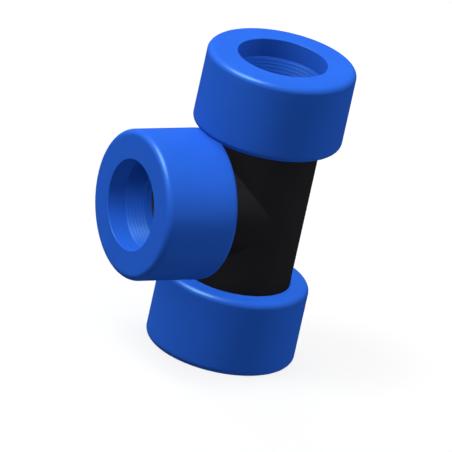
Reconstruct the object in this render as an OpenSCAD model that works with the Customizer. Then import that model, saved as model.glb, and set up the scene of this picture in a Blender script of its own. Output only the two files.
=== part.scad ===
// Compression tee for plastic pipe: a black tee body whose three equal ports each carry
// a large smooth nut, a split gripping ring, a thrust bush and a sealing ring.
// The run stands along Z, the branch points along -X, and the origin is the centre of
// the bottom nut's outer face, on which the fitting stands.

/* [Pipe] */
// Outside diameter of the pipe that every port takes
pipe_d = 63; // [58:0.5:68]
// Radial room between the pipe and the body's sockets
socket_gap = 0.3; // [0.25:0.05:0.5]
// Radial room between the pipe and the tips of the gripping teeth
tooth_gap = 0.15; // [0.1:0.05:0.3]
// Radial room between the pipe and the bore in each nut's end
nut_bore_gap = 0.5; // [0.4:0.1:1]

/* [Tee body] */
// Diameter of the waterway through the run and the branch
waterway_d = 51; // [44:0.5:54]
// Depth from each port's mouth to the shoulder that stops the pipe
socket_depth = 27; // [22:0.5:30]
// Wall round each socket, measured under the screw thread
socket_wall = 5.2; // [4.8:0.1:7]
// Length of each port that reaches into its nut
port_reach = 19; // [17:0.5:22]
// Length of the full tube that reaches into each nut before the thread
collar_reach = 1.5; // [1:0.1:2.5]

/* [Screw thread] */
// Distance that a nut travels in one turn
thread_pitch = 5; // [4.6:0.1:5.6]
// Height of the thread above its root
thread_depth = 2; // [1.6:0.1:2.4]
// Width of the thread at its crest
thread_crest = 1.6; // [1.2:0.1:1.8]
// Slope of the flank that takes the load, in degrees from square
load_angle = 7; // [3:1:12]
// Slope of the flank that leads the nut on, in degrees from square
lead_angle = 33; // [25:1:36]
// Bare length between the thread and each end of the port
thread_run_out = 2; // [1.8:0.1:2.5]
// Chamfer round the port's mouth that leads the nut on
mouth_chamfer = 0.5; // [0.2:0.1:0.7]
// Radial room between the root of the body's thread and the nut
root_gap = 0.4; // [0.35:0.05:0.6]
// Radial room between the crest of the body's thread and the nut
crest_gap = 0.35; // [0.3:0.05:0.6]
// Axial room between the flanks of the two threads
flank_gap = 0.4; // [0.35:0.05:0.5]

/* [Nuts] */
// Length of each nut
nut_len = 57; // [54:0.5:66]
// Wall of each nut outside its thread
nut_wall = 13.65; // [10:0.05:16]
// Radius of the rounding on both outer edges of each nut
nut_edge_r = 4.6; // [2:0.1:6]
// Gap between a run nut's inner face and the side of the branch nut
nut_gap = 1; // [0.5:0.1:4]
// Gap between the branch nut's inner face and the tube of the run
branch_gap = 1; // [0.5:0.1:8]

/* [Seal] */
// Thickness of the sealing ring's round section
seal_d = 4; // [3.6:0.1:4.2]
// Radial room between the pipe and the sealing ring
seal_gap = 0.1; // [0.1:0.05:0.2]
// Room between the sealing ring and its two seats
seal_room = 0.1; // [0.1:0.05:0.2]
// Depth of the cone in each port's mouth that seats the sealing ring
seat_depth = 6; // [5.6:0.1:6.4]
// Widening of that cone from the socket to the mouth, on the radius
seat_rise = 3.8; // [3.7:0.1:4]

/* [Thrust bush] */
// Thickness of the bush between the sealing ring and the gripping ring
bush_len = 4.8; // [3.5:0.1:6]
// Radial room between the bush and the inside of the nut
bush_room = 0.5; // [0.4:0.1:0.8]
// Chamfer on the bush's outer edges
bush_chamfer = 0.6; // [0.2:0.1:0.8]
// Axial gap between neighbouring pieces inside a nut
axial_gap = 0.35; // [0.3:0.05:0.6]

/* [Gripping ring] */
// Length of the gripping ring
grip_len = 16; // [12:0.5:18]
// Slope of the ring's outside and of the nut's inside, in degrees from the axis
grip_angle = 11.5; // [9:0.5:12]
// Room between the ring and the cone inside the nut, on the radius
grip_room = 0.35; // [0.3:0.05:0.5]
// Number of gripping teeth along the ring
teeth = 6; // [4:1:7]
// Height of each tooth
tooth_height = 0.95; // [0.6:0.05:1]
// Width of the slit that lets the ring close on the pipe
slit_w = 6; // [4:0.5:10]

/* [Hidden] */
$fn = 96;

// Colours of the moulded pieces and of the rubber
BLUE = [0.18, 0.44, 0.94];
BLACK = [0.1, 0.1, 0.11];
RUBBER = [0.05, 0.05, 0.05];

// Overshoot of every cutting solid past the face that it cuts
past = 1;
// Depth to which a thread's ridge is sunk into the wall that carries it
sunk = 0.5;
// Straight steps in one turn of a thread, and the share of a turn over which it fades
turn_steps = 48;
fade_turns = 0.12;
// Share of its section with which a thread starts
fade_start = 0.1;
// Turns by which the nut's thread starts before the body's
nut_thread_lead = 0.3;

// Radii, from the pipe outwards
pipe_r = pipe_d / 2;
waterway_r = waterway_d / 2;
tooth_tip_r = pipe_r + tooth_gap;
tooth_root_r = tooth_tip_r + tooth_height;
socket_r = pipe_r + socket_gap;
nut_bore_r = pipe_r + nut_bore_gap;
root_r = socket_r + socket_wall;
tube_r = root_r + thread_depth;
chamber_r = root_r + root_gap;
hole_r = tube_r + crest_gap;
nut_r = hole_r + nut_wall;

// Stations along a port, measured outwards from its nut's inner face
seat_start = port_reach - seat_depth;
seat_slope = atan(seat_rise / seat_depth);
seal_mid_r = pipe_r + seal_gap + seal_d / 2;
seal_mid = seat_start
  + (seal_mid_r + (seal_d / 2 + seal_room) / cos(seat_slope) - socket_r) / tan(seat_slope);
bush_start = seal_mid + seal_d / 2 + seal_room;
bush_end = bush_start + bush_len;
grip_start = bush_end + axial_gap;
grip_end = grip_start + grip_len;
cone_end = grip_end + axial_gap;
thread_start = collar_reach + thread_run_out;
thread_turns = (port_reach - thread_start - thread_run_out) / thread_pitch;

// Distances of the nuts' inner faces from the middle of the tee, and its height
run_start = nut_r + nut_gap;
branch_start = tube_r + branch_gap;
middle_z = run_start + nut_len;

// Radius of the cone inside a nut at one station along the port
function cone_r(station) = chamber_r - (station - bush_end) * tan(grip_angle);

// Places of the body thread's two flanks along the port, at one radius
function load_flank(r) = -thread_crest / 2 - (tube_r - r) * tan(load_angle);
function lead_flank(r) = thread_crest / 2 + (tube_r - r) * tan(lead_angle);

// Section of the body's thread, and of the nut's thread in the gap that it leaves
function body_section() = let (foot = root_r - sunk) [
  [foot, load_flank(foot)],
  [tube_r, load_flank(tube_r)],
  [tube_r, lead_flank(tube_r)],
  [foot, lead_flank(foot)],
];
function nut_section() = let (foot = hole_r + sunk) [
  [foot, thread_pitch + load_flank(foot) - flank_gap],
  [chamber_r, thread_pitch + load_flank(chamber_r) - flank_gap],
  [chamber_r, lead_flank(chamber_r) + flank_gap],
  [foot, lead_flank(foot) + flank_gap],
];

// Right-handed ridge that carries a section round the port's axis, from one turn to
// another. At both ends it fades down to the radius at which it is sunk in its wall.
module ridge(section, first_turn, last_turn) {
  corners = len(section);
  steps = ceil((last_turn - first_turn) * turn_steps);
  fade_steps = fade_turns * turn_steps;
  foot = section[0][0];
  centre = (section[0][1] + section[3][1]) / 2;
  points = [
    for (step = [0:steps])
      let (
        turn = first_turn + (last_turn - first_turn) * step / steps,
        size = max(fade_start, min(1, step / fade_steps, (steps - step) / fade_steps))
      )
      for (corner = section)
        let (
          r = foot + (corner[0] - foot) * size,
          along = centre + (corner[1] - centre) * size + turn * thread_pitch
        )
        [r * cos(360 * turn), r * sin(360 * turn), along]
  ];
  ends = [
    [for (i = [corners - 1:-1:0]) i],
    [for (i = [0:corners - 1]) steps * corners + i],
  ];
  sides = [
    for (step = [0:steps - 1])
      for (i = [0:corners - 1])
        let (a = step * corners + i, b = step * corners + (i + 1) % corners)
        each [[a, b, b + corners], [a, b + corners, a + corners]]
  ];
  polyhedron(points, concat(ends, sides), convexity = 10);
}

// Rounding of a square corner: the sliver of the corner outside the arc. The corner
// is at the origin of a square that reaches towards side, +1 or -1 along Y.
module corner_sliver(r, side) {
  difference() {
    translate([-r, side > 0 ? -past : -r]) square([r + past, r + past]);
    translate([-r, side * r]) circle(r = r);
  }
}

// Places its children at a port: the port's axis is their Z, from the middle outwards
module at_port(port) {
  turn = port == "top" ? [0, 0, 0] : port == "bottom" ? [180, 0, 0] : [0, -90, 0];
  translate([0, 0, middle_z]) rotate(turn) children();
}

// Distance from the middle of the tee to the nut's inner face at a port
function port_start(port) = port == "branch" ? branch_start : run_start;

// Direction of a gripping ring's slit, on the side of the port away from its open view
function slit_turn(port) = port == "branch" ? 315 : 225;

// Outside of one port: tube, land for the thread, chamfered mouth and the thread itself
module port_outside(start) {
  land = start + port_reach - mouth_chamfer;
  cylinder(r = tube_r, h = start + collar_reach);
  cylinder(r = root_r, h = land);
  translate([0, 0, land])
    cylinder(r1 = root_r, r2 = root_r - mouth_chamfer, h = mouth_chamfer);
  translate([0, 0, start + thread_start]) ridge(body_section(), 0, thread_turns);
}

// Inside of one port: waterway, pipe socket and the cone that seats the sealing ring
module port_inside(start) {
  mouth = start + port_reach;
  cylinder(r = waterway_r, h = mouth);
  translate([0, 0, mouth - socket_depth]) cylinder(r = socket_r, h = socket_depth + past);
  translate([0, 0, mouth - seat_depth])
    cylinder(r1 = socket_r, r2 = socket_r + seat_rise * (1 + past / seat_depth),
             h = seat_depth + past);
}

module tee_body() {
  color(BLACK)
    difference() {
      union() {
        for (port = ["top", "bottom", "branch"])
          at_port(port) port_outside(port_start(port));
      }
      for (port = ["top", "bottom", "branch"])
        at_port(port) port_inside(port_start(port));
    }
}

// Nut: rounded outside, screw thread on the body, chamber, cone and plain end bore
module nut(port) {
  thread_end = port_reach + axial_gap;
  color(BLUE)
    at_port(port) translate([0, 0, port_start(port)]) {
      rotate_extrude() difference() {
        translate([nut_bore_r, 0]) square([nut_r - nut_bore_r, nut_len]);
        translate([nut_r, 0]) corner_sliver(nut_edge_r, 1);
        translate([nut_r, nut_len]) corner_sliver(nut_edge_r, -1);
        translate([0, -past]) square([hole_r, past + thread_end]);
        polygon([
          [0, thread_end - past],
          [chamber_r, thread_end - past],
          [chamber_r, bush_end],
          [cone_r(cone_end), cone_end],
          [0, cone_end],
        ]);
      }
      translate([0, 0, thread_start])
        ridge(nut_section(), -nut_thread_lead, thread_turns - nut_thread_lead);
    }
}

// Split ring with barbed teeth inside and a cone outside
module grip_ring(port) {
  tooth_len = grip_len / teeth;
  barbs = [
    for (i = [teeth - 1:-1:0])
      each [
        [tooth_root_r, grip_start + (i + 1) * tooth_len],
        [tooth_tip_r, grip_start + (i + 0.25) * tooth_len],
        [tooth_tip_r, grip_start + (i + 0.1) * tooth_len],
      ]
  ];
  color(BLUE)
    at_port(port) translate([0, 0, port_start(port)])
      difference() {
        rotate_extrude() polygon(concat(
          [
            [tooth_root_r, grip_start],
            [cone_r(grip_start) - grip_room, grip_start],
            [cone_r(grip_end) - grip_room, grip_end],
          ],
          barbs
        ));
        rotate([0, 0, slit_turn(port)])
          translate([0, -slit_w / 2, grip_start - past])
            cube([nut_r, slit_w, grip_len + 2 * past]);
      }
}

// Thrust bush: flat washer with a skirt that closes over the sealing ring
module thrust_bush(port) {
  bush_r = chamber_r - bush_room;
  skirt_r = seal_mid_r + seal_d / 2 + seal_room;
  skirt_start = port_reach + axial_gap;
  color(BLUE)
    at_port(port) translate([0, 0, port_start(port)])
      rotate_extrude() polygon([
        [socket_r, bush_start],
        [skirt_r, bush_start],
        [skirt_r, skirt_start],
        [bush_r - bush_chamfer, skirt_start],
        [bush_r, skirt_start + bush_chamfer],
        [bush_r, bush_end - bush_chamfer],
        [bush_r - bush_chamfer, bush_end],
        [socket_r, bush_end],
      ]);
}

module seal(port) {
  color(RUBBER)
    at_port(port) translate([0, 0, port_start(port) + seal_mid])
      rotate_extrude() translate([seal_mid_r, 0]) circle(d = seal_d);
}

tee_body();
nut("top");  // top_nut
grip_ring("top");  // top_grip_ring
thrust_bush("top");  // top_thrust_bush
seal("top");  // top_seal
nut("bottom");  // bottom_nut
grip_ring("bottom");  // bottom_grip_ring
thrust_bush("bottom");  // bottom_thrust_bush
seal("bottom");  // bottom_seal
nut("branch");  // branch_nut
grip_ring("branch");  // branch_grip_ring
thrust_bush("branch");  // branch_thrust_bush
seal("branch");  // branch_seal
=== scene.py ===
"""Looks of the compression tee: its nuts, gripping rings, bushes, seals and body.

Every piece is made in metres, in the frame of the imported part, and stands for one of its
solids. Stations run outwards along a port from its nut's inner face.
"""

import sys

import logging
import math
from collections.abc import Callable
from dataclasses import dataclass
from enum import Enum
from typing import Any, ClassVar

import bmesh
import bpy
import numpy as np
from bpy.types import Material, Mesh, NodeSocket, NodeTree
from mathutils import Matrix, Vector


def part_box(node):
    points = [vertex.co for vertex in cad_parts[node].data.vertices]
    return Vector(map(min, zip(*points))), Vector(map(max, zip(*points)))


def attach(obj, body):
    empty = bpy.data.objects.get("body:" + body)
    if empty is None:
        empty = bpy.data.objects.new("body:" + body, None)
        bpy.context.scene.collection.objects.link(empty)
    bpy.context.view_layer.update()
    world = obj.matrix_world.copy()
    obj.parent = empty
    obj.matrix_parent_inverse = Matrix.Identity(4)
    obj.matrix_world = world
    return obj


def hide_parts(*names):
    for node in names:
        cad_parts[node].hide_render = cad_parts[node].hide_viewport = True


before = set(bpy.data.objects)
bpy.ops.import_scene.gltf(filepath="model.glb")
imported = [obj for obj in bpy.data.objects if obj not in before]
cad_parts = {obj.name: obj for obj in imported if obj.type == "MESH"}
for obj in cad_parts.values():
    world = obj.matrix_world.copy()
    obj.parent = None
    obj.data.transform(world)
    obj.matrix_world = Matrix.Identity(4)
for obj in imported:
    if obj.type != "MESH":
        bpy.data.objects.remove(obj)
log = logging.getLogger("compression_tee")

MM = 0.001
FLAT_ANGLE = 1e-4
Pair = tuple[float, float]
Colour = tuple[float, float, float]
Vec3 = tuple[float, float, float]


class Port(Enum):
    """The three ports of the tee, by the names that their solids start with."""

    TOP = "top"
    BOTTOM = "bottom"
    BRANCH = "branch"

    def turned(self) -> Matrix:
        """Turn that takes the port's own axis, Z outwards, to its place on the tee."""
        turns = {
            Port.TOP: Matrix.Identity(4),
            Port.BOTTOM: Matrix.Rotation(math.pi, 4, "X"),
            Port.BRANCH: Matrix.Rotation(-math.pi / 2, 4, "Y"),
        }
        return turns[self]

    def slit_turn(self) -> float:
        """Direction of the gripping ring's slit round the port, in turns."""
        degrees = 315 if self is Port.BRANCH else 225
        return degrees / 360


@dataclass(frozen=True)
class FittingSizes:
    """Sizes of the fitting in metres, from the pipe outwards."""

    pipe_radius: float = 31.5 * MM
    socket_gap: float = 0.3 * MM
    tooth_gap: float = 0.15 * MM
    nut_bore_gap: float = 0.5 * MM
    waterway_radius: float = 25.5 * MM
    socket_depth: float = 27 * MM
    socket_wall: float = 5.2 * MM
    port_reach: float = 19 * MM
    collar_reach: float = 1.5 * MM
    thread_pitch: float = 5 * MM
    thread_depth: float = 2 * MM
    thread_crest: float = 1.6 * MM
    load_angle: float = math.radians(7)
    lead_angle: float = math.radians(33)
    thread_run_out: float = 2 * MM
    mouth_chamfer: float = 0.5 * MM
    root_gap: float = 0.4 * MM
    crest_gap: float = 0.35 * MM
    flank_gap: float = 0.4 * MM
    nut_length: float = 57 * MM
    nut_wall: float = 13.65 * MM
    nut_edge: float = 4.6 * MM
    nut_gap: float = 1 * MM
    branch_gap: float = 1 * MM
    seal_thickness: float = 4 * MM
    seal_gap: float = 0.1 * MM
    seal_room: float = 0.1 * MM
    seat_depth: float = 6 * MM
    seat_rise: float = 3.8 * MM
    bush_length: float = 4.8 * MM
    bush_room: float = 0.5 * MM
    bush_chamfer: float = 0.6 * MM
    axial_gap: float = 0.35 * MM
    grip_length: float = 16 * MM
    grip_angle: float = math.radians(11.5)
    grip_room: float = 0.35 * MM
    teeth: int = 6
    tooth_height: float = 0.95 * MM
    slit_width: float = 6 * MM

    @property
    def tooth_tip_radius(self) -> float:
        """Radius at the tips of the gripping teeth."""
        return self.pipe_radius + self.tooth_gap

    @property
    def socket_radius(self) -> float:
        """Radius of the body's pipe sockets."""
        return self.pipe_radius + self.socket_gap

    @property
    def nut_bore_radius(self) -> float:
        """Radius of the bore in a nut's outer end."""
        return self.pipe_radius + self.nut_bore_gap

    @property
    def root_radius(self) -> float:
        """Radius at the root of the body's thread."""
        return self.socket_radius + self.socket_wall

    @property
    def tube_radius(self) -> float:
        """Outside radius of the body's tubes and of its thread."""
        return self.root_radius + self.thread_depth

    @property
    def chamber_radius(self) -> float:
        """Radius of the chamber in a nut, and at the crest of the nut's thread."""
        return self.root_radius + self.root_gap

    @property
    def hole_radius(self) -> float:
        """Radius of the hole in a nut's inner end, at the root of its thread."""
        return self.tube_radius + self.crest_gap

    @property
    def nut_radius(self) -> float:
        """Outside radius of a nut."""
        return self.hole_radius + self.nut_wall

    @property
    def seal_middle_radius(self) -> float:
        """Radius to the middle of the sealing ring's section."""
        return self.pipe_radius + self.seal_gap + self.seal_thickness / 2

    @property
    def seat_start(self) -> float:
        """Station at which the sealing ring's cone opens from the socket."""
        return self.port_reach - self.seat_depth

    @property
    def seal_middle(self) -> float:
        """Works out where the sealing ring meets its cone.

        Returns:
            Station of the ring's middle.
        """
        slope = math.atan(self.seat_rise / self.seat_depth)
        reach = (self.seal_thickness / 2 + self.seal_room) / math.cos(slope)
        rise = self.seal_middle_radius + reach - self.socket_radius
        return self.seat_start + rise / math.tan(slope)

    @property
    def bush_start(self) -> float:
        """Station at which the thrust bush meets the sealing ring."""
        return self.seal_middle + self.seal_thickness / 2 + self.seal_room

    @property
    def bush_end(self) -> float:
        """Station of the thrust bush's outer end."""
        return self.bush_start + self.bush_length

    @property
    def grip_start(self) -> float:
        """Station of the gripping ring's inner end."""
        return self.bush_end + self.axial_gap

    @property
    def grip_end(self) -> float:
        """Station of the gripping ring's outer end."""
        return self.grip_start + self.grip_length

    @property
    def cone_end(self) -> float:
        """Station at which the cone inside a nut ends."""
        return self.grip_end + self.axial_gap

    @property
    def thread_start(self) -> float:
        """Station of the first turn of the body's thread."""
        return self.collar_reach + self.thread_run_out

    @property
    def thread_turns(self) -> float:
        """Number of turns of the body's thread."""
        length = self.port_reach - self.thread_start - self.thread_run_out
        return length / self.thread_pitch

    @property
    def middle_height(self) -> float:
        """Height of the middle of the tee above the face on which it stands."""
        return self.port_start(Port.TOP) + self.nut_length

    def port_start(self, port: Port) -> float:
        """Distance from the middle of the tee to the nut's inner face at a port."""
        branch, run = self.tube_radius + self.branch_gap, self.nut_radius + self.nut_gap
        return branch if port is Port.BRANCH else run

    def cone_radius(self, station: float) -> float:
        """Radius of the cone inside a nut at one station."""
        return self.chamber_radius - (station - self.bush_end) * math.tan(self.grip_angle)

    def placed(self, port: Port) -> Matrix:
        """Placement on a port of a piece that was made round Z, by its stations."""
        outwards = Matrix.Translation((0, 0, self.port_start(port)))
        return Matrix.Translation((0, 0, self.middle_height)) @ port.turned() @ outwards


def add(name: str, data: bpy.types.ID) -> bpy.types.Object:
    """Adds an object to the scene.

    Args:
        name: The object's name.
        data: Its mesh, lamp or camera.

    Returns:
        The object, at the origin.
    """
    added = bpy.data.objects.new(name, data)
    bpy.context.scene.collection.objects.link(added)
    return added


@dataclass(frozen=True)
class Corner:
    """Corner of a section: its radius from the axis, its station and its rounding."""

    radius: float
    station: float
    rounding: float = 0.0


def along_arc(
    first: np.ndarray, last: np.ndarray, angle: float | np.ndarray, share: float | np.ndarray
) -> np.ndarray:
    """Finds points of arcs. Those under FLAT_ANGLE are taken for straight.

    Args:
        first: Where each arc starts, from its own centre.
        last: Where it ends, from its own centre.
        angle: The angle between the two.
        share: How far along the arc, from 0 to 1.

    Returns:
        The points, from the arcs' centres.
    """
    flat = angle < FLAT_ANGLE
    sine = np.where(flat, 1.0, np.sin(angle))
    near = np.where(flat, 1 - share, np.sin((1 - share) * angle) / sine)
    far = np.where(flat, share, np.sin(share * angle) / sine)
    return near * first + far * last


@dataclass(frozen=True)
class Section:
    """Section of a turned or swept piece, whose corners the mould has rounded."""

    corners: list[Corner]
    closed: bool = True
    quarter_steps: int = 4
    fewest_steps: int = 2
    support_share: float = 0.5
    most_of_side: float = 0.25
    shortest_side: float = 0.001 * MM

    def outline(self) -> np.ndarray:
        """Rounds the corners and adds a support point beside each rounding.

        Returns:
            Points (radius, station), clockwise if the section is closed.
        """
        points = np.array([(c.radius, c.station) for c in self.corners])
        count = len(points)
        arcs = [self._arc(points, i) for i in range(count)]
        rows = []
        for i, arc in enumerate(arcs):
            rows.append(arc)
            if self.closed or i < count - 1:
                rows.append(self._supports(arcs, i, (i + 1) % count))
        outline = np.vstack(rows)
        if self.closed:
            ahead = np.roll(outline, -1, axis=0)
            area = np.sum(outline[:, 0] * ahead[:, 1] - ahead[:, 0] * outline[:, 1]) / 2
            if area > 0:
                outline = outline[::-1]
        return outline

    def _arc(self, points: np.ndarray, i: int) -> np.ndarray:
        """Points of the arc that rounds one corner.

        Args:
            points: The corners.
            i: Which of them.

        Returns:
            The arc from its first tangent point to its last, or a sharp corner itself.
        """
        corner, rounding = points[i], self.corners[i].rounding
        if rounding == 0:
            return corner[None, :]
        sides = [points[i - 1] - corner, points[(i + 1) % len(points)] - corner]
        sides = [side / np.linalg.norm(side) for side in sides]
        opening = math.acos(float(np.clip(sides[0] @ sides[1], -1, 1)))
        bisector = sum(sides) / np.linalg.norm(sum(sides))
        to_centre = bisector * rounding / math.sin(opening / 2)
        first, last = (side * rounding / math.tan(opening / 2) - to_centre for side in sides)
        sweep = math.pi - opening
        steps = max(self.fewest_steps, math.ceil(self.quarter_steps * sweep / (math.pi / 2)))
        share = np.linspace(0, 1, steps + 1)[:, None]
        return corner + to_centre + along_arc(first, last, sweep, share)

    def _supports(self, arcs: list[np.ndarray], i: int, j: int) -> np.ndarray:
        """Points on a straight side that keep it flat next to its roundings.

        Args:
            arcs: The rounded corners.
            i: The corner at which the side starts.
            j: The corner at which it ends.

        Returns:
            Up to two points on the side.
        """
        start, end = arcs[i][-1], arcs[j][0]
        length = float(np.linalg.norm(end - start))
        if length < self.shortest_side:
            return np.empty((0, 2))
        near, far = (
            min(self.corners[k].rounding * self.support_share, length * self.most_of_side)
            for k in (i, j)
        )
        along = (end - start) / length
        found = ((near, start + along * near), (far, end - along * far))
        return np.array([point for inset, point in found if inset > 0]).reshape(-1, 2)


def operator(operation: str, swapped: bool = False) -> Callable[..., "Signal"]:
    """Makes a method that adds a Math node of one operation.

    Args:
        operation: The Math node's operation.
        swapped: Whether the method's own value comes last, as in a reflected operator.

    Returns:
        The method.
    """

    def method(signal: "Signal", *others: Any) -> "Signal":
        """Adds the node to the signal's graph."""
        values = (*others, signal) if swapped else (signal, *others)
        return signal.graph.node(
            "ShaderNodeMath", {"operation": operation}, dict(enumerate(values))
        )

    return method


class Signal:
    """Output socket of a node that takes part in Python arithmetic."""

    def __init__(self, graph: "Graph", socket: NodeSocket) -> None:
        """Wraps one output socket of a graph."""
        self.graph = graph
        self.socket = socket

    __add__ = __radd__ = operator("ADD")
    __sub__, __rsub__ = operator("SUBTRACT"), operator("SUBTRACT", swapped=True)
    __mul__ = __rmul__ = operator("MULTIPLY")
    __truediv__, __rtruediv__ = operator("DIVIDE"), operator("DIVIDE", swapped=True)
    least, most, size = operator("MINIMUM"), operator("MAXIMUM"), operator("ABSOLUTE")
    cosine, sine = operator("COSINE"), operator("SINE")


class Graph:
    """Node tree that is written as calls."""

    def __init__(self, tree: NodeTree) -> None:
        """Empties a node tree, ready to be written."""
        self.tree = tree
        tree.nodes.clear()

    @staticmethod
    def _find(sockets: Any, key: str | int) -> NodeSocket:
        """Socket of a node by its identifier, or else its name or index."""
        found = [socket for socket in sockets if socket.identifier == key]
        return found[0] if found else sockets[key]

    def node(
        self,
        kind: str,
        settings: dict[str, Any] | None = None,
        inputs: dict[Any, Any] | None = None,
        output: str | int = 0,
    ) -> Signal:
        """Adds a node.

        Args:
            kind: The node's type.
            settings: Its settings, which are made before its sockets are filled.
            inputs: Values or links of its input sockets, by index, identifier or name.
            output: The output socket that is handed on.

        Returns:
            The chosen output, ready for arithmetic.
        """
        node = self.tree.nodes.new(kind)
        for name, value in (settings or {}).items():
            setattr(node, name, value)
        for key, value in (inputs or {}).items():
            socket = self._find(node.inputs, key)
            if isinstance(value, Signal):
                self.tree.links.new(value.socket, socket)
            else:
                socket.default_value = value
        return Signal(self, self._find(node.outputs, output) if node.outputs else None)


class SweepPath(Enum):
    """Paths round a port's axis along which a section is carried."""

    RING = "ring"
    HELIX = "helix"


class SweepTree:
    """Geometry Nodes tree that carries a section along a path and gives it its finish."""

    COUNTS = ("Segments", "Points")
    INPUTS = {
        SweepPath.RING: ("Path radius", "Segments"),
        SweepPath.HELIX: (
            "Path radius", "Points", "Pitch", "First turn", "Last turn", "Fade turns", "Fade start"
        ),
    }

    def __init__(self, path: SweepPath) -> None:
        """Writes the tree.

        Args:
            path: The kind of path along which it carries a section.
        """
        self.tree = bpy.data.node_groups.new(f"{path.value} sweep", "GeometryNodeTree")
        self.graph = Graph(self.tree)
        self.identifiers: dict[str, str] = {}
        sizes = {name: "Int" if name in self.COUNTS else "Float" for name in self.INPUTS[path]}
        kinds = {"Section": "Geometry", **sizes, "Finish": "Material"}
        for name, kind in kinds.items():
            socket = self.tree.interface.new_socket(
                name, in_out="INPUT", socket_type=f"NodeSocket{kind}"
            )
            self.identifiers[name] = socket.identifier
        self.tree.interface.new_socket("Piece", in_out="OUTPUT", socket_type="NodeSocketGeometry")
        entry = self.tree.nodes.new("NodeGroupInput")
        given = {name: Signal(self.graph, entry.outputs[name]) for name in kinds}
        if path is SweepPath.RING:
            way, size = self._ring(given), 1.0
        else:
            way, size = self._helix(given)
        profile = self.graph.node("GeometryNodeMeshToCurve", None, {"Mesh": given["Section"]})
        swept = self.graph.node(
            "GeometryNodeCurveToMesh",
            None,
            {"Curve": way, "Profile Curve": profile, "Scale": size, "Fill Caps": True},
        )
        smooth = self.graph.node("GeometryNodeSetShadeSmooth", None, {0: swept})
        real = self.graph.node("GeometryNodeRealizeInstances", None, {0: smooth})
        dressed = self.graph.node(
            "GeometryNodeSetMaterial", None, {"Geometry": real, "Material": given["Finish"]}
        )
        self.graph.node("NodeGroupOutput", None, {"Piece": dressed})

    def _ring(self, given: dict[str, Signal]) -> Signal:
        """Path that closes on itself round the axis."""
        return self.graph.node(
            "GeometryNodeCurvePrimitiveCircle",
            {"mode": "RADIUS"},
            {"Resolution": given["Segments"], "Radius": given["Path radius"]},
        )

    def _helix(self, given: dict[str, Signal]) -> tuple[Signal, Signal]:
        """Right-handed helix round the axis, on which the section fades at both ends.

        Args:
            given: The tree's inputs by name.

        Returns:
            The path, and the size of the section along it.
        """
        graph = self.graph
        line = graph.node("GeometryNodeCurvePrimitiveLine", None, {"End": (0, 0, 1)})
        points = graph.node(
            "GeometryNodeResampleCurve",
            {"mode": "COUNT"},
            {"Curve": line, "Count": given["Points"]},
        )
        along = graph.node("GeometryNodeSplineParameter", output="Factor")
        turns = given["Last turn"] - given["First turn"]
        turn = given["First turn"] + turns * along
        angle = turn * math.tau
        place = graph.node(
            "ShaderNodeCombineXYZ",
            None,
            {
                "X": angle.cosine() * given["Path radius"],
                "Y": angle.sine() * given["Path radius"],
                "Z": turn * given["Pitch"],
            },
        )
        wound = graph.node(
            "GeometryNodeSetPosition", None, {"Geometry": points, "Position": place}
        )
        upright = graph.node("GeometryNodeSetCurveNormal", {"mode": "Z_UP"}, {"Curve": wound})
        from_end = along.least(1 - along) * turns / given["Fade turns"]
        return upright, from_end.most(given["Fade start"]).least(1.0)

    def carry(self, section: Section, centre: Pair, values: dict[str, Any]) -> Mesh:
        """Carries a section along the path.

        Args:
            section: The section, in radius and station.
            centre: The radius and station of the point of the section on the path.
            values: The tree's inputs by name.

        Returns:
            A plain mesh round the Z axis, whose faces point outwards if it is closed.
        """
        outline = section.outline()
        flat = [(r - centre[0], centre[1] - s, 0.0) for r, s in outline]
        count = len(flat)
        edges = [(i, (i + 1) % count) for i in range(count if section.closed else count - 1)]
        mesh = bpy.data.meshes.new("section")
        mesh.from_pydata(flat, edges, [])
        maker = add("section", mesh)
        modifier = maker.modifiers.new("sweep", "NODES")
        modifier.node_group = self.tree
        for name, value in {"Path radius": centre[0], **values}.items():
            modifier[self.identifiers[name]] = value
        graph = bpy.context.evaluated_depsgraph_get()
        swept = bpy.data.meshes.new_from_object(maker.evaluated_get(graph))
        maker.modifiers.clear()
        bpy.data.objects.remove(maker)
        bpy.data.meshes.remove(mesh)
        swept.transform(Matrix.Translation((0, 0, centre[1])))
        if section.closed:
            MeshTools.face_outwards(swept)
        return swept


class MeshTools:
    """Small jobs on finished meshes."""

    SHARP_ANGLE = math.radians(38)
    WELD = 0.008 * MM

    @staticmethod
    def face_outwards(mesh: Mesh) -> None:
        """Turns a closed mesh's faces round if they point inwards.

        Args:
            mesh: The mesh, which is changed in place.
        """
        work = bmesh.new()
        work.from_mesh(mesh)
        if work.calc_volume(signed=True) < 0:
            bmesh.ops.reverse_faces(work, faces=work.faces)
            work.to_mesh(mesh)
        work.free()

    @classmethod
    def join(
        cls, name: str, meshes: list[Mesh], finish: Material, weld: bool = False
    ) -> Mesh:
        """Joins meshes into one piece.

        Args:
            name: Name of the new mesh.
            meshes: The meshes, each in its place. They are removed afterwards.
            finish: The material of the whole piece.
            weld: Whether the meshes are strips of one skin that is to be closed.

        Returns:
            The joined mesh, smooth but for its sharp edges.
        """
        work = bmesh.new()
        for mesh in meshes:
            work.from_mesh(mesh)
        if weld:
            bmesh.ops.remove_doubles(work, verts=work.verts, dist=cls.WELD)
            bmesh.ops.dissolve_degenerate(work, dist=cls.WELD / 2, edges=work.edges)
            bmesh.ops.recalc_face_normals(work, faces=work.faces)
        loose = sum(not edge.is_manifold for edge in work.edges)
        if loose:
            log.warning("%s has %d open edges", name, loose)
        for face in work.faces:
            face.smooth = True
            face.material_index = 0
        joined = bpy.data.meshes.new(name)
        work.to_mesh(joined)
        work.free()
        for mesh in meshes:
            bpy.data.meshes.remove(mesh)
        joined.materials.append(finish)
        joined.set_sharp_from_angle(angle=cls.SHARP_ANGLE)
        return joined


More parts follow.
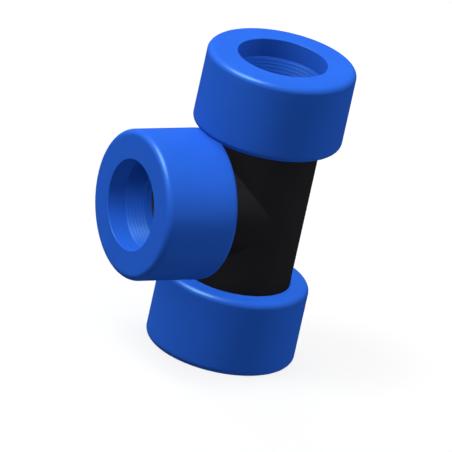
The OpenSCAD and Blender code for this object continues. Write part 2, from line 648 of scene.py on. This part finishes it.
@dataclass(frozen=True)
class Winding:
    """How a section climbs and fades, if it does, while it is carried round the axis."""

    pitch: float = 0.0
    fade_turns: float = 1.0
    fade_start: float = 1.0
    turn_points: int = 192


class Turner:
    """Makes rings, open rings and helical ridges with the two sweep trees."""

    SEGMENTS = 192

    def __init__(self) -> None:
        """Writes the trees once for all pieces."""
        self.ring_tree = SweepTree(SweepPath.RING)
        self.helix_tree = SweepTree(SweepPath.HELIX)

    def ring(self, section: Section, finish: Material) -> Mesh:
        """Turns a section once round the axis."""
        foot, values = section.corners[0], {"Segments": self.SEGMENTS, "Finish": finish}
        return self.ring_tree.carry(section, (foot.radius, foot.station), values)

    def wound(
        self, section: Section, winding: Winding, first: float, last: float, finish: Material
    ) -> Mesh:
        """Carries a section round the axis from one turn to another.

        Args:
            section: The section. Where it fades, it does so towards its first corner.
            winding: How it climbs and fades.
            first: The turn at which it starts.
            last: The turn at which it ends.
            finish: The material.

        Returns:
            The open ring or ridge as a closed mesh.
        """
        foot = section.corners[0]
        middle = (foot.station + section.corners[-1].station) / 2
        return self.helix_tree.carry(
            section,
            (foot.radius, middle),
            {
                "Points": math.ceil(winding.turn_points * (last - first)) + 1,
                "Pitch": winding.pitch,
                "First turn": first,
                "Last turn": last,
                "Fade turns": winding.fade_turns,
                "Fade start": winding.fade_start,
                "Finish": finish,
            },
        )


@dataclass(frozen=True)
class ThreadForm:
    """Buttress thread whose two sides are cut from the same flanks."""

    sizes: FittingSizes
    turner: Turner
    finish: Material
    crest_rounding: float = 0.3 * MM
    crest_steps: int = 3
    sunk: float = 0.5 * MM
    fade_turns: float = 0.12
    fade_start: float = 0.1
    turn_points: int = 96
    nut_lead: float = 0.3

    def body_ridge(self) -> Mesh:
        """Winds the ridge on a port of the body, sunk into the port at its foot."""
        radii = (self.sizes.root_radius - self.sunk, self.sizes.tube_radius)
        return self._ridge(radii, (0.0, 0.0), 0.0)

    def nut_ridge(self) -> Mesh:
        """Winds the ridge in a nut, in the gap that the body's ridge leaves.

        Returns:
            The ridge as a closed mesh.
        """
        s, gap = self.sizes, self.sizes.flank_gap
        radii = (s.hole_radius + self.sunk, s.chamber_radius)
        return self._ridge(radii, (s.thread_pitch - gap, gap), -self.nut_lead)

    def _ridge(self, radii: Pair, shifts: Pair, first: float) -> Mesh:
        """Winds a ridge over the thread's turns, which fades into its wall at both ends.

        Args:
            radii: Radii of its foot, which stands in its wall, and of its crest.
            shifts: How far its two sides stand from the body's load and lead flanks.
            first: The turn at which it starts.

        Returns:
            The ridge as a closed mesh.
        """
        s, (foot, crest) = self.sizes, radii
        load, lead = (s.thread_start + shift for shift in shifts)
        section = Section([
            Corner(foot, load - self._reach(foot, s.load_angle)),
            Corner(crest, load - self._reach(crest, s.load_angle), self.crest_rounding),
            Corner(crest, lead + self._reach(crest, s.lead_angle), self.crest_rounding),
            Corner(foot, lead + self._reach(foot, s.lead_angle)),
        ], quarter_steps=self.crest_steps)
        winding = Winding(s.thread_pitch, self.fade_turns, self.fade_start, self.turn_points)
        last = first + s.thread_turns
        return self.turner.wound(section, winding, first, last, self.finish)

    def _reach(self, radius: float, angle: float) -> float:
        """Distance of a flank from the middle of the body's crest, at one radius."""
        return self.sizes.thread_crest / 2 + (self.sizes.tube_radius - radius) * math.tan(angle)


@dataclass(frozen=True)
class Noise:
    """Soft random pattern: how large its features are, how finely broken up, how high."""

    size: float
    detail: float
    rise: float = 0.0

    MEAN: ClassVar[float] = 0.5

    def over(self, graph: Graph, place: Signal) -> Signal:
        """The pattern's value from 0 to 1 at a place."""
        return graph.node(
            "ShaderNodeTexNoise",
            {"noise_dimensions": "3D"},
            {"Vector": place, "Scale": 1 / self.size, "Detail": self.detail},
            output="Fac",
        )

    def relief(self, graph: Graph, place: Signal) -> Signal:
        """The pattern as a height in metres at a place."""
        return self.over(graph, place) * self.rise


@dataclass(frozen=True)
class Plastic:
    """Moulded plastic or rubber: colour, gloss and the relief that its mould leaves.

    The colour drifts a little between two tones over the piece, the gloss drifts in
    patches, and the surface has a fine grain on a shallow, wider waviness. The polish
    is the thin share of the surface that mirrors the lamps on rounded edges.
    """

    name: str
    deep_tone: Colour
    light_tone: Colour
    roughness: float
    roughness_drift: float
    polish: float
    polish_tint: Colour = (1.0, 1.0, 1.0)
    specular: float = 0.0
    drift: Noise = Noise(38 * MM, 3.0)
    drift_share: float = 1.6
    patches: Noise = Noise(9 * MM, 4.0)
    patch_share: float = 0.5
    grain: Noise = Noise(0.9 * MM, 2.0, 0.004 * MM)
    waves: Noise = Noise(6 * MM, 1.0, 0.010 * MM)
    seam_height: float = 0.0
    seam_width: float = 0.35 * MM

    def material(self) -> Material:
        """Writes the material.

        Returns:
            A material that reads Object coordinates only.
        """
        material = bpy.data.materials.new(self.name)
        material.use_nodes = True
        graph = Graph(material.node_tree)
        place = graph.node("ShaderNodeTexCoord", output="Object")
        drift = self.drift.over(graph, place) - Noise.MEAN
        patches = self.patches.over(graph, place) - Noise.MEAN
        tone = drift * self.drift_share + patches * self.patch_share + Noise.MEAN
        colour = graph.node(
            "ShaderNodeMix",
            {"data_type": "RGBA"},
            {
                "Factor_Float": tone.most(0.0).least(1.0),
                "A_Color": (*self.deep_tone, 1.0),
                "B_Color": (*self.light_tone, 1.0),
            },
            output="Result_Color",
        )
        relief = self.grain.relief(graph, place) + self.waves.relief(graph, place)
        if self.seam_height:
            relief = relief + self._seam(graph, place) * self.seam_height
        bump = graph.node(
            "ShaderNodeBump", None, {"Strength": 1.0, "Distance": 1.0, "Height": relief}
        )
        shared = {"Roughness": patches * self.roughness_drift + self.roughness, "Normal": bump}
        pigment = graph.node(
            "ShaderNodeBsdfPrincipled",
            None,
            {"Base Color": colour, "Specular IOR Level": self.specular, **shared},
        )
        polish = graph.node(
            "ShaderNodeBsdfPrincipled",
            None,
            {"Base Color": (*self.polish_tint, 1.0), "Metallic": 1.0, **shared},
        )
        surface = graph.node(
            "ShaderNodeMixShader", None, {0: self.polish, 1: pigment, 2: polish}
        )
        graph.node("ShaderNodeOutputMaterial", None, {"Surface": surface})
        return material

    def _seam(self, graph: Graph, place: Signal) -> Signal:
        """Fine line where the two halves of the mould met, in the plane of the ports."""
        across = graph.node("ShaderNodeSeparateXYZ", None, {"Vector": place}, output="Y")
        return (1 - across.size() / self.seam_width).most(0.0)


class Finish(Enum):
    """Finishes of the fitting, by the material slots of the part."""

    BLACK_BODY = Plastic(
        "black_body",
        deep_tone=(0.0220, 0.0215, 0.0245),
        light_tone=(0.0275, 0.0270, 0.0305),
        roughness=0.44,
        roughness_drift=0.10,
        polish=0.003,
        grain=Noise(0.7 * MM, 2.0, 0.012 * MM),
        seam_height=0.06 * MM,
    )
    BLUE_NUT = Plastic(
        "blue_nut",
        deep_tone=(0.0250, 0.158, 0.885),
        light_tone=(0.0290, 0.172, 0.955),
        roughness=0.36,
        roughness_drift=0.06,
        polish=0.015,
        polish_tint=(0.50, 1.0, 1.0),
    )
    BLUE_RING = Plastic(
        "blue_ring",
        deep_tone=(0.021, 0.149, 0.86),
        light_tone=(0.025, 0.163, 0.92),
        roughness=0.42,
        roughness_drift=0.08,
        polish=0.010,
        polish_tint=(0.50, 1.0, 1.0),
        grain=Noise(0.9 * MM, 2.0, 0.008 * MM),
    )
    SEAL_RUBBER = Plastic(
        "seal_rubber",
        deep_tone=(0.006, 0.006, 0.006),
        light_tone=(0.010, 0.010, 0.010),
        roughness=0.62,
        roughness_drift=0.10,
        polish=0.002,
        specular=0.10,
        grain=Noise(0.5 * MM, 2.0, 0.015 * MM),
    )

    @property
    def slot(self) -> str:
        """Name of the part's material slot."""
        return self.value.name


Stock = dict[Finish, Material]


def show(mesh: Mesh, node: str, body: str) -> str:
    """Puts a finished mesh on the part in place of one of its solids, at the origin.

    Args:
        mesh: The mesh, in the frame of the part.
        node: The solid that it stands for.
        body: The body that it moves with.

    Returns:
        What was shown, in words.
    """
    piece = add(mesh.name, mesh)
    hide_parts(node)
    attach(piece, body)
    points = np.array([v.co for v in mesh.vertices])
    off = np.abs(np.array([points.min(0), points.max(0)]) - np.array(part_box(node))).max()
    faces = len(mesh.polygons)
    return f"{piece.name}: {faces} faces, on {body}, box off by {off / MM:.3f} mm"


@dataclass
class TeeBody:
    """Black body: three equal tubes with mitred joints, sockets, seats and threads."""

    sizes: FittingSizes
    turner: Turner
    stock: Stock
    crotch_rounding: float = 1.5 * MM
    edge_rounding: float = 0.25 * MM
    seat_rounding: float = 1.0 * MM
    skin_rows: int = 12
    crotch_steps: int = 6
    skin_overlap: float = 1.0 * MM
    stop_overlap: float = 0.8 * MM

    def build(self) -> str:
        """Builds the body and shows it.

        Returns:
            What was built, in words.
        """
        sizes, finish = self.sizes, self.stock[Finish.BLACK_BODY]
        stop = sizes.port_reach - sizes.socket_depth
        strips = [
            self._skin(sizes.tube_radius, self.skin_overlap),
            self._skin(sizes.waterway_radius, stop - self.stop_overlap),
        ]
        ridges = []
        for port in Port:
            strips.append(self.turner.ring(self._mouth_section(), finish))
            ridges.append(ThreadForm(sizes, self.turner, finish).body_ridge())
            for mesh in (strips[-1], ridges[-1]):
                mesh.transform(sizes.placed(port))
        shell = MeshTools.join("tee_shell", strips, finish, weld=True)
        mesh = MeshTools.join("tee_moulding", [shell, *ridges], finish)
        return show(mesh, "tee_body", "tee")

    def _mouth_section(self) -> Section:
        """Draws a port from its stop over the mouth to the tube's collar.

        Returns:
            The open section.
        """
        s, edge = self.sizes, self.edge_rounding
        stop = s.port_reach - s.socket_depth
        return Section([
            Corner(s.waterway_radius, stop - self.stop_overlap),
            Corner(s.waterway_radius, stop, edge),
            Corner(s.socket_radius, stop, edge),
            Corner(s.socket_radius, s.seat_start, self.seat_rounding),
            Corner(s.socket_radius + s.seat_rise, s.port_reach, edge),
            Corner(s.root_radius - s.mouth_chamfer, s.port_reach, edge),
            Corner(s.root_radius, s.port_reach - s.mouth_chamfer, edge),
            Corner(s.root_radius, s.collar_reach, edge),
            Corner(s.tube_radius, s.collar_reach, edge),
            Corner(s.tube_radius, self.skin_overlap),
        ], closed=False)

    def _skin(self, radius: float, end_station: float) -> Mesh:
        """Skin of three equal tubes that meet in a tee with rounded crotches.

        Args:
            radius: The tubes' radius.
            end_station: The station at which each tube ends.

        Returns:
            The skin, open at its three ends.
        """
        count = Turner.SEGMENTS
        turns = np.arange(count + 1) / count * math.tau
        round_x, round_y = np.cos(turns), np.sin(turns)
        past = radius + self.crotch_rounding
        centre = Matrix.Translation((0, 0, self.sizes.middle_height))
        work = bmesh.new()
        for port in Port:
            meets = np.abs(round_x) if port is Port.BRANCH else np.maximum(0, -round_x)
            seam = past * meets
            reach = self.sizes.port_start(port) + end_station
            share = np.linspace(0, 1, self.skin_rows + 1)[:, None]
            rows = seam + (reach - seam) * share
            grid = np.stack([
                np.broadcast_to(radius * round_x, rows.shape),
                np.broadcast_to(radius * round_y, rows.shape),
                rows,
            ], axis=-1)
            self._add_grid(work, grid, centre @ port.turned())
        quarter = count // 4
        half = slice(quarter, 3 * quarter + 1)
        x, y = round_x[half], round_y[half]
        nothing = np.zeros_like(x)
        from_run = np.stack([-x, -y, nothing], axis=-1)
        from_branch = np.stack([nothing, -y, x], axis=-1)
        corner = np.stack([past * x, past * y, -past * x], axis=-1)
        spread = np.arccos(np.clip((from_run * from_branch).sum(-1), -1, 1))[:, None]
        rows = [
            corner + self.crotch_rounding * along_arc(from_run, from_branch, spread, share)
            for share in np.linspace(0, 1, self.crotch_steps + 1)
        ]
        upper = np.stack(rows)
        lower = upper * np.array([1, 1, -1])
        self._add_grid(work, upper, centre)
        self._add_grid(work, lower, centre)
        mesh = bpy.data.meshes.new("tee_skin")
        work.to_mesh(mesh)
        work.free()
        return mesh

    @staticmethod
    def _add_grid(work: bmesh.types.BMesh, grid: np.ndarray, placement: Matrix) -> None:
        """Adds a grid of points and the faces between them.

        Args:
            work: The mesh that is being made.
            grid: Points by row and column.
            placement: Where the grid goes.
        """
        rows, columns = grid.shape[:2]
        points = [
            [work.verts.new(placement @ Vector(grid[i, j])) for j in range(columns)]
            for i in range(rows)
        ]
        for i in range(rows - 1):
            for j in range(columns - 1):
                work.faces.new((
                    points[i][j], points[i][j + 1], points[i + 1][j + 1], points[i + 1][j]
                ))


@dataclass
class PortPiece:
    """Piece that each port has one of."""

    port: Port
    sizes: FittingSizes
    turner: Turner
    stock: Stock

    SOLID: ClassVar[str]
    BODY: ClassVar[str]
    NAME: ClassVar[str]
    FINISH: ClassVar[Finish]

    def build(self) -> str:
        """Builds the piece, places it on its port and shows it.

        Returns:
            What was built, in words.
        """
        finish, port = self.stock[self.FINISH], self.port.value
        meshes = self._meshes(finish)
        for mesh in meshes:
            mesh.transform(self.sizes.placed(self.port))
        mesh = MeshTools.join(f"{port}_{self.NAME}", meshes, finish)
        return show(mesh, f"{port}_{self.SOLID}", self.BODY.format(port=port))

    def _meshes(self, finish: Material) -> list[Mesh]:
        """Meshes of the piece, made round Z by their stations."""
        return [self.turner.ring(self._section(), finish)]

    def _section(self) -> Section:
        """Closed section of the piece."""
        raise NotImplementedError


@dataclass
class ScrewNut(PortPiece):
    """Large smooth nut with a screw thread, a chamber, a cone and a bore for the pipe."""

    bore_rounding: float = 0.45 * MM
    inner_rounding: float = 0.3 * MM
    hole_rounding: float = 0.4 * MM
    outer_steps: int = 14

    SOLID = "nut"
    BODY = "{port}_screw"
    NAME = "nut_moulding"
    FINISH = Finish.BLUE_NUT

    def _meshes(self, finish: Material) -> list[Mesh]:
        """The nut's wall and its thread."""
        thread = ThreadForm(self.sizes, self.turner, finish)
        return [*super()._meshes(finish), thread.nut_ridge()]

    def _section(self) -> Section:
        """Draws the nut without its thread.

        Returns:
            The closed section.
        """
        s = self.sizes
        thread_end = s.port_reach + s.axial_gap
        return Section([
            Corner(s.hole_radius, 0, self.hole_rounding),
            Corner(s.nut_radius, 0, s.nut_edge),
            Corner(s.nut_radius, s.nut_length, s.nut_edge),
            Corner(s.nut_bore_radius, s.nut_length, self.bore_rounding),
            Corner(s.nut_bore_radius, s.cone_end, self.inner_rounding),
            Corner(s.cone_radius(s.cone_end), s.cone_end, self.inner_rounding),
            Corner(s.chamber_radius, s.bush_end),
            Corner(s.chamber_radius, thread_end, self.inner_rounding),
            Corner(s.hole_radius, thread_end, self.inner_rounding),
        ], quarter_steps=self.outer_steps)


@dataclass
class GrippingRing(PortPiece):
    """Split ring with a cone outside and barbed teeth inside."""

    end_rounding: float = 0.3 * MM
    tooth_rounding: float = 0.08 * MM
    tip_share: Pair = (0.1, 0.25)
    barb_steps: int = 3

    SOLID = "grip_ring"
    BODY = "{port}_ring"
    NAME = "grip_ring_moulding"
    FINISH = Finish.BLUE_RING

    def _meshes(self, finish: Material) -> list[Mesh]:
        """Winds the ring from one side of its slit to the other.

        Args:
            finish: The ring's material.

        Returns:
            The ring alone.
        """
        middle_radius = (self.sizes.tooth_tip_radius + self.sizes.chamber_radius) / 2
        half_slit = math.asin(self.sizes.slit_width / 2 / middle_radius) / math.tau
        first = self.port.slit_turn() + half_slit
        last = self.port.slit_turn() + 1 - half_slit
        return [self.turner.wound(self._section(), Winding(), first, last, finish)]

    def _section(self) -> Section:
        """Draws the ring with its row of barbs.

        Returns:
            The closed section.
        """
        s = self.sizes
        root_radius = s.tooth_tip_radius + s.tooth_height
        tooth_length = s.grip_length / s.teeth
        corners = [
            Corner(root_radius, s.grip_start, self.tooth_rounding),
            Corner(s.cone_radius(s.grip_start) - s.grip_room, s.grip_start, self.end_rounding),
            Corner(s.cone_radius(s.grip_end) - s.grip_room, s.grip_end, self.end_rounding),
        ]
        low, high = self.tip_share
        for i in reversed(range(s.teeth)):
            foot = s.grip_start + i * tooth_length
            corners += [
                Corner(root_radius, foot + tooth_length, self.tooth_rounding),
                Corner(s.tooth_tip_radius, foot + high * tooth_length, self.tooth_rounding),
                Corner(s.tooth_tip_radius, foot + low * tooth_length, self.tooth_rounding),
            ]
        return Section(corners, quarter_steps=self.barb_steps)


@dataclass
class ThrustBush(PortPiece):
    """Flat washer with a skirt that closes over the sealing ring."""

    edge_rounding: float = 0.2 * MM

    SOLID = "thrust_bush"
    BODY = "tee"
    NAME = "thrust_bush_moulding"
    FINISH = Finish.BLUE_RING

    def _section(self) -> Section:
        """Draws the bush.

        Returns:
            The closed section.
        """
        s, edge = self.sizes, self.edge_rounding
        bush_radius = s.chamber_radius - s.bush_room
        skirt_radius = s.seal_middle_radius + s.seal_thickness / 2 + s.seal_room
        skirt_start = s.port_reach + s.axial_gap
        return Section([
            Corner(s.socket_radius, s.bush_start, edge),
            Corner(skirt_radius, s.bush_start, edge),
            Corner(skirt_radius, skirt_start, edge),
            Corner(bush_radius - s.bush_chamfer, skirt_start, edge / 2),
            Corner(bush_radius, skirt_start + s.bush_chamfer, edge),
            Corner(bush_radius, s.bush_end - s.bush_chamfer, edge),
            Corner(bush_radius - s.bush_chamfer, s.bush_end, edge),
            Corner(s.socket_radius, s.bush_end, edge),
        ])


@dataclass
class SealRing(PortPiece):
    """Rubber ring of round section in its conical seat."""

    section_points: int = 40

    SOLID = "seal"
    BODY = "tee"
    NAME = "seal_ring"
    FINISH = Finish.SEAL_RUBBER

    def _section(self) -> Section:
        """Draws the ring's round section.

        Returns:
            The closed section.
        """
        s, radius = self.sizes, self.sizes.seal_thickness / 2
        angles = np.arange(self.section_points) / self.section_points * math.tau
        return Section([
            Corner(
                s.seal_middle_radius + radius * math.cos(angle),
                s.seal_middle + radius * math.sin(angle),
            )
            for angle in angles
        ])


class LampUse(Enum):
    """What a lamp is for."""

    SHADING = "shading"
    HIGHLIGHTS = "highlights"


@dataclass(frozen=True)
class Lamp:
    """Distant soft lamp: where it stands, its share of a white's light, its width in degrees.

    Its light makes no bounce, so that no nut colours another one or its own bore.
    """

    name: str
    towards: Vec3
    share: float
    width: float
    use: LampUse = LampUse.SHADING
    casts_shadow: bool = False
    bounces: int = 0

    def build(self) -> None:
        """Adds the lamp to the scene."""
        light = bpy.data.lights.new(self.name, "SUN")
        light.energy = self.share * math.pi
        light.angle = math.radians(self.width)
        light.use_shadow = self.casts_shadow
        light.cycles.max_bounces = self.bounces
        lamp = add(self.name, light)
        lamp.visible_diffuse = self.use is LampUse.SHADING
        lamp.visible_glossy = self.use is LampUse.HIGHLIGHTS
        lamp.rotation_euler = Vector(self.towards).to_track_quat("Z", "Y").to_euler()
        log.info("%s lamp: %.2f of a white's light", self.name, self.share)


@dataclass(frozen=True)
class Viewpoint:
    """Place of the camera, from the picture's frame and the tee's place in it."""

    picture_size: int = 452
    azimuth: float = math.radians(-33.12)
    elevation: float = math.radians(22.41)
    lean: float = math.radians(12.52)
    pixels_per_mm: float = 1.432
    middle_pixel: Pair = (251.0, 202.0)
    lens: float = 1000.0
    sensor: float = 36.0
    nearest: float = 0.5
    farthest: float = 100.0

    def build(self, middle: Vector) -> None:
        """Adds the camera.

        Args:
            middle: The middle of the tee, where the ports' axes meet.
        """
        az, el = self.azimuth, self.elevation
        back = Vector((math.sin(az) * math.cos(el), -math.cos(az) * math.cos(el), math.sin(el)))
        level = Vector((math.cos(az), math.sin(az), 0))
        upright = back.cross(level)
        right = level * math.cos(self.lean) + upright * math.sin(self.lean)
        up = back.cross(right)
        scale = self.pixels_per_mm / MM
        centre = self.picture_size / 2
        aim = middle + right * ((centre - self.middle_pixel[0]) / scale)
        aim += up * ((self.middle_pixel[1] - centre) / scale)
        distance = self.lens / self.sensor * self.picture_size / scale
        data = bpy.data.cameras.new("picture_camera")
        data.lens, data.sensor_width = self.lens, self.sensor
        data.clip_start, data.clip_end = self.nearest, self.farthest
        camera = add("picture_camera", data)
        camera.matrix_world = Matrix.LocRotScale(
            aim + back * distance, Matrix((right, up, back)).transposed(), None
        )
        bpy.context.scene.camera = camera
        log.info("camera %.2f m from the tee", distance)


@dataclass
class Studio:
    """Plain pale floor, white surroundings and soft lamps."""

    floor_reach: float = 40.0
    floor_drop: float = 0.2 * MM
    floor_glow: float = 0.53
    floor_tone: float = 0.5
    floor_bounce: float = 0.1
    surround: float = 0.13
    lamps: tuple[Lamp, ...] = (
        Lamp("key_fill", (-0.38, 0.10, 0.92), 0.655, 12.0),
        Lamp("key", (-0.38, 0.10, 0.92), 0.13, 16.0, casts_shadow=True),
        Lamp("right_fill", (0.95, -0.30, 0.10), 0.195, 30.0),
        Lamp("front_fill", (0.00, -0.95, 0.30), 0.095, 60.0),
        Lamp("left_fill", (-0.95, 0.00, 0.30), 0.10, 60.0),
        Lamp("back_fill", (0.00, 0.95, 0.30), 0.16, 60.0),
        Lamp("under_fill", (0.00, 0.00, -1.00), 0.13, 60.0),
        Lamp("sheen", (-0.55, 0.15, 0.82), 3.90, 40.0, LampUse.HIGHLIGHTS),
    )

    def build(self, middle: Vector) -> None:
        """Builds the whole studio.

        Args:
            middle: The middle of the tee, at which the camera is aimed.
        """
        self._surround()
        self._floor()
        for lamp in self.lamps:
            lamp.build()
        Viewpoint().build(middle)
        bpy.context.scene.view_settings.view_transform = "Standard"

    @staticmethod
    def _seen(graph: Graph) -> Signal:
        """One for rays that show the surroundings, straight or in a gloss or a glass."""
        straight, mirrored, through = (
            graph.node("ShaderNodeLightPath", output=f"Is {ray} Ray")
            for ray in ("Camera", "Glossy", "Transmission")
        )
        return straight.most(mirrored).most(through)

    @staticmethod
    def _grey(tone: float) -> tuple[float, float, float, float]:
        """Neutral colour of one tone."""
        return (tone, tone, tone, 1.0)

    def _surround(self) -> None:
        """World that is seen white and lights the part with an even, weaker tone."""
        world = bpy.data.worlds.new("studio")
        world.use_nodes = True
        graph = Graph(world.node_tree)
        lit, white = (
            graph.node("ShaderNodeBackground", None, {"Color": self._grey(tone), "Strength": 1.0})
            for tone in (self.surround, 1.0)
        )
        mixed = graph.node("ShaderNodeMixShader", None, {0: self._seen(graph), 1: lit, 2: white})
        graph.node("ShaderNodeOutputWorld", None, {"Surface": mixed})
        bpy.context.scene.world = world

    def _floor(self) -> None:
        """Pale floor that keeps a faint shadow of the part."""
        material = bpy.data.materials.new("studio_floor")
        material.use_nodes = True
        graph = Graph(material.node_tree)
        dim, shaded = (
            graph.node("ShaderNodeBsdfDiffuse", None, {"Color": self._grey(tone)})
            for tone in (self.floor_bounce, self.floor_tone)
        )
        glow = graph.node("ShaderNodeEmission", None, {"Strength": self.floor_glow})
        pale = graph.node("ShaderNodeAddShader", None, {0: shaded, 1: glow})
        mixed = graph.node("ShaderNodeMixShader", None, {0: self._seen(graph), 1: dim, 2: pale})
        graph.node("ShaderNodeOutputMaterial", None, {"Surface": mixed})
        reach, height = self.floor_reach, -self.floor_drop
        sides = ((-reach, -reach), (reach, -reach), (reach, reach), (-reach, reach))
        mesh = bpy.data.meshes.new("studio_floor")
        mesh.from_pydata([(x, y, height) for x, y in sides], [], [range(len(sides))])
        mesh.materials.append(material)
        floor = add("studio_floor", mesh)


def main() -> None:
    """Builds every piece in order, then the studio round them."""
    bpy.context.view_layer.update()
    sizes = FittingSizes()
    turner, stock = Turner(), {finish: finish.value.material() for finish in Finish}
    log.info(TeeBody(sizes, turner, stock).build())
    for port in Port:
        for piece in (SealRing, ThrustBush, GrippingRing, ScrewNut):
            log.info(piece(port, sizes, turner, stock).build())
    Studio().build(Vector((0, 0, sizes.middle_height)))


if __name__ == "__main__":
    logging.basicConfig(level=logging.INFO, format="%(name)s: %(message)s", stream=sys.stdout)
    main()
